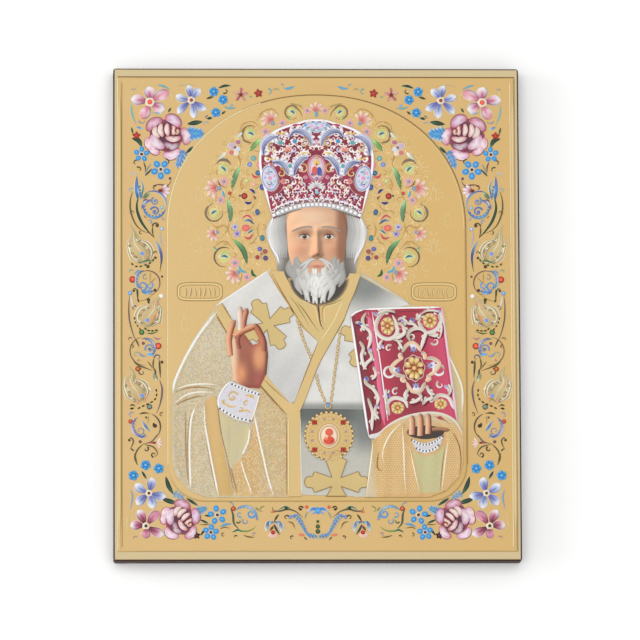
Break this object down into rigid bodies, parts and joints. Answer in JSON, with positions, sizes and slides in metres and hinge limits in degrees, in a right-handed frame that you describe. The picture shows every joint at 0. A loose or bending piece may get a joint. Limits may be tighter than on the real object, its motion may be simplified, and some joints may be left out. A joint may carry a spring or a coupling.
{
  "type": "icon panel",
  "caption": "Flat devotional panel: an embossed gilt sheet with a haloed figure and a flowered border on a dark board.",
  "frame": {"origin": "middle of the back, on the surface that the panel lies on", "axes": "+Z out of the face, +Y towards the figure's head, +X to the right of a viewer facing the panel"},
  "size_m": [0.18, 0.22, 0.0125],
  "materials": {
    "board": "dark brown paint, satin",
    "gilt": "embossed gilt foil with colour print, satin"
  },
  "bodies": {
    "root": {"board": "board", "gilt_sheet": "gilt"}
  },
  "joints": []
}
